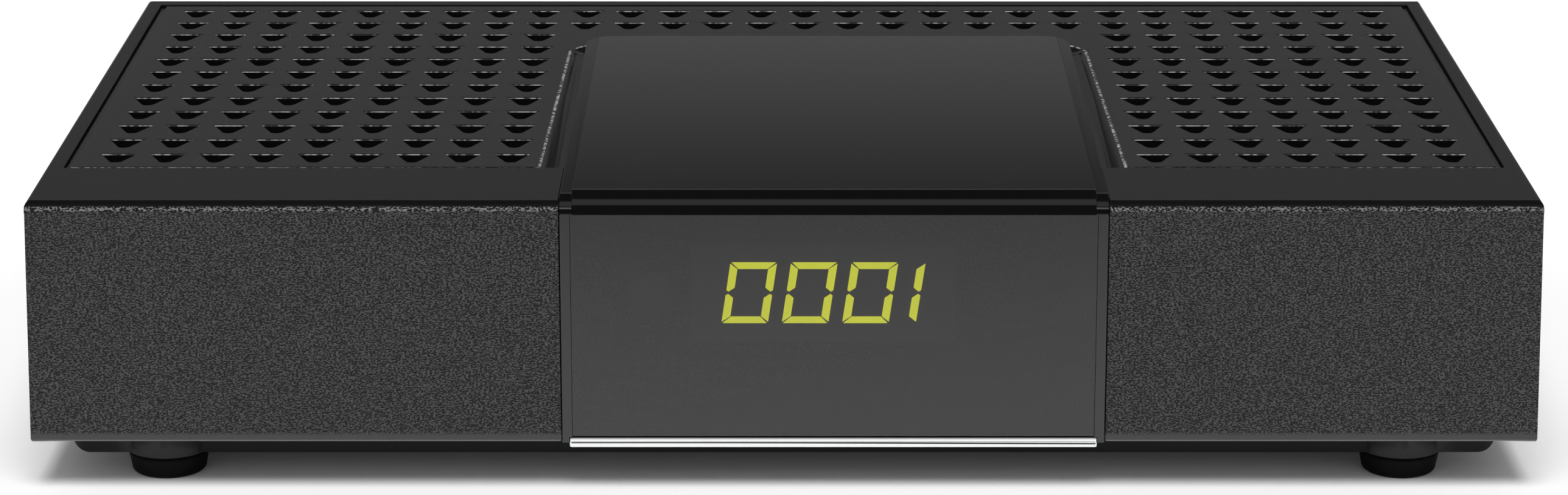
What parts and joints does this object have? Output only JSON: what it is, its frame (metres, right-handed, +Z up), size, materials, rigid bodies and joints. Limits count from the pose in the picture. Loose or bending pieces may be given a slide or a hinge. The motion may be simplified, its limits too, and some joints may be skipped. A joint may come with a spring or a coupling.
{
  "type": "cable television receiver",
  "caption": "Flat black set-top box with a glossy raised centre cover, smoked display window, chrome strip, triangular top vents, rubber feet and rear sockets with a power switch.",
  "frame": {"origin": "on the table under the middle of the whole object, sockets included", "axes": "+X to the right seen from the front, +Y from the front to the back, +Z up"},
  "size_m": [0.22, 0.1386, 0.0448],
  "materials": {
    "abs_grained": "black moulded plastic with a fine leather grain",
    "abs_fine": "black moulded plastic with a fine matt texture",
    "gloss_black": "piano black moulded plastic",
    "smoked_acrylic": "smoked acrylic",
    "chrome_trim": "chromed plastic trim",
    "base_plastic": "dark grey moulded plastic",
    "rubber": "pebbled black rubber",
    "panel_steel": "dark painted sheet steel",
    "screw_steel": "dark zinc plated steel",
    "board": "green solder mask on glass fibre board",
    "led_body": "black filled display block",
    "lit": "lit yellow-green segment",
    "unlit": "unlit grey segment",
    "black_plastic": "black connector plastic",
    "white_plastic": "off-white connector plastic",
    "orange_plastic": "orange insulator",
    "ribbon": "grey ribbon cable",
    "tin_plate": "tinned sheet steel",
    "nickel": "nickel plated shell",
    "contact": "plated brass contact",
    "package": "black chip package",
    "pad": "grey thermal pad",
    "sink": "black anodised aluminium",
    "can": "sleeved aluminium can",
    "ferrite": "dark ferrite"
  },
  "bodies": {
    "receiver": {"upper_housing": "abs_grained", "vent_grille": "abs_fine", "centre_cover": "gloss_black", "display_window": "smoked_acrylic", "chrome_strip": "chrome_trim", "base_tray": "base_plastic", "rear_panel": "panel_steel", "foot_front_left": "rubber", "foot_front_right": "rubber", "foot_rear_left": "rubber", "foot_rear_right": "rubber", "case_screws": "screw_steel", "rear_panel_screws": "screw_steel", "main_board": "board", "board_screws": "screw_steel", "display_board": "board", "display_board_screws": "screw_steel", "led_display": "led_body", "lit_segments": "lit", "dark_segments": "unlit", "infrared_receiver": "black_plastic", "ribbon_cable": "ribbon", "display_header": "white_plastic", "board_header": "white_plastic", "tuner_can": "tin_plate", "tuner_lid": "tin_plate", "antenna_input": "nickel", "antenna_input_contact": "contact", "antenna_output": "nickel", "antenna_output_pin": "contact", "antenna_insulators": "white_plastic", "scart_socket": "black_plastic", "scart_contacts": "nickel", "video_socket": "nickel", "video_tongue": "black_plastic", "usb_socket": "nickel", "usb_tongue": "white_plastic", "audio_body": "black_plastic", "audio_barrel": "nickel", "audio_insert": "orange_plastic", "power_jack": "black_plastic", "power_jack_pin": "nickel", "switch_body": "black_plastic", "switch_terminals": "contact", "main_chip": "package", "thermal_pad": "pad", "heat_sink": "sink", "heat_sink_pins": "white_plastic", "memory_chips": "package", "flash_chip": "package", "regulator_chips": "package", "capacitors": "can", "inductors": "ferrite", "crystal": "tin_plate"},
    "power_rocker": {"switch_rocker": "black_plastic", "switch_plunger": "contact"},
    "contact_lever": {"switch_lever": "contact"}
  },
  "joints": [
    {"name": "rocker_hinge", "type": "hinge", "parent": "receiver", "child": "power_rocker", "pos_m": [-0.07057, 0.05605, 0.0176], "axis": [0, 0, 1], "range_deg": [-20, 0]},
    {"name": "lever_hinge", "type": "hinge", "parent": "receiver", "child": "contact_lever", "pos_m": [-0.07057, 0.0493, 0.0176], "axis": [0, 0, 1], "range_deg": [0, 16]}
  ],
  "couplings": [
    {"joint": "lever_hinge", "follows": "rocker_hinge", "ratio": -0.8}
  ]
}
